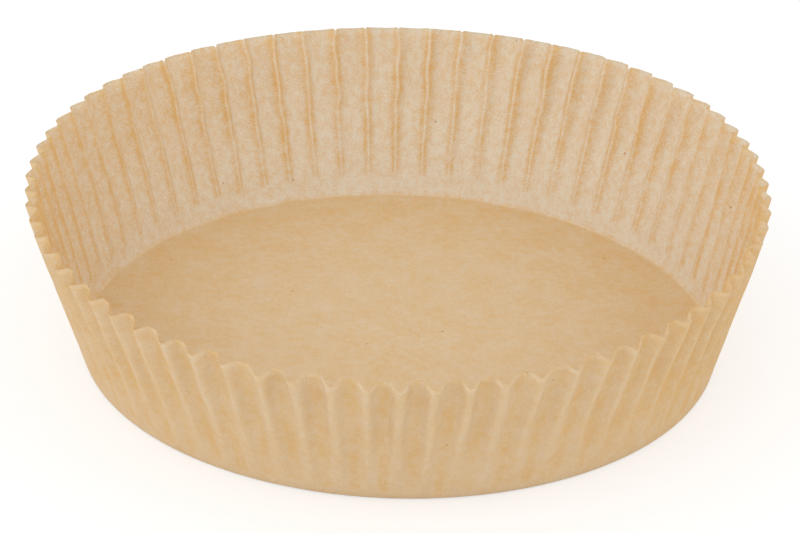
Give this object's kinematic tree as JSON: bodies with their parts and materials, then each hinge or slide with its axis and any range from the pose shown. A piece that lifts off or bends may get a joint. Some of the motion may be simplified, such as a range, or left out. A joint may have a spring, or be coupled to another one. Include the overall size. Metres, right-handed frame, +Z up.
{
  "type": "air fryer paper liner",
  "caption": "Round paper liner with a flat base and a flared, pleated wall, open at the top, to line the basket of an air fryer.",
  "frame": {"origin": "centre of the flat base, on its underside", "axes": "+Z up out of the open top, -Y towards the side that the picture shows nearest, +X to its right"},
  "size_m": [0.1851, 0.2014, 0.0449],
  "materials": {
    "kraft_paper": "matte unbleached greaseproof paper, faintly see-through, with fine fibres and a few brown specks"
  },
  "bodies": {
    "root": {"paper_liner": "kraft_paper"}
  },
  "joints": []
}
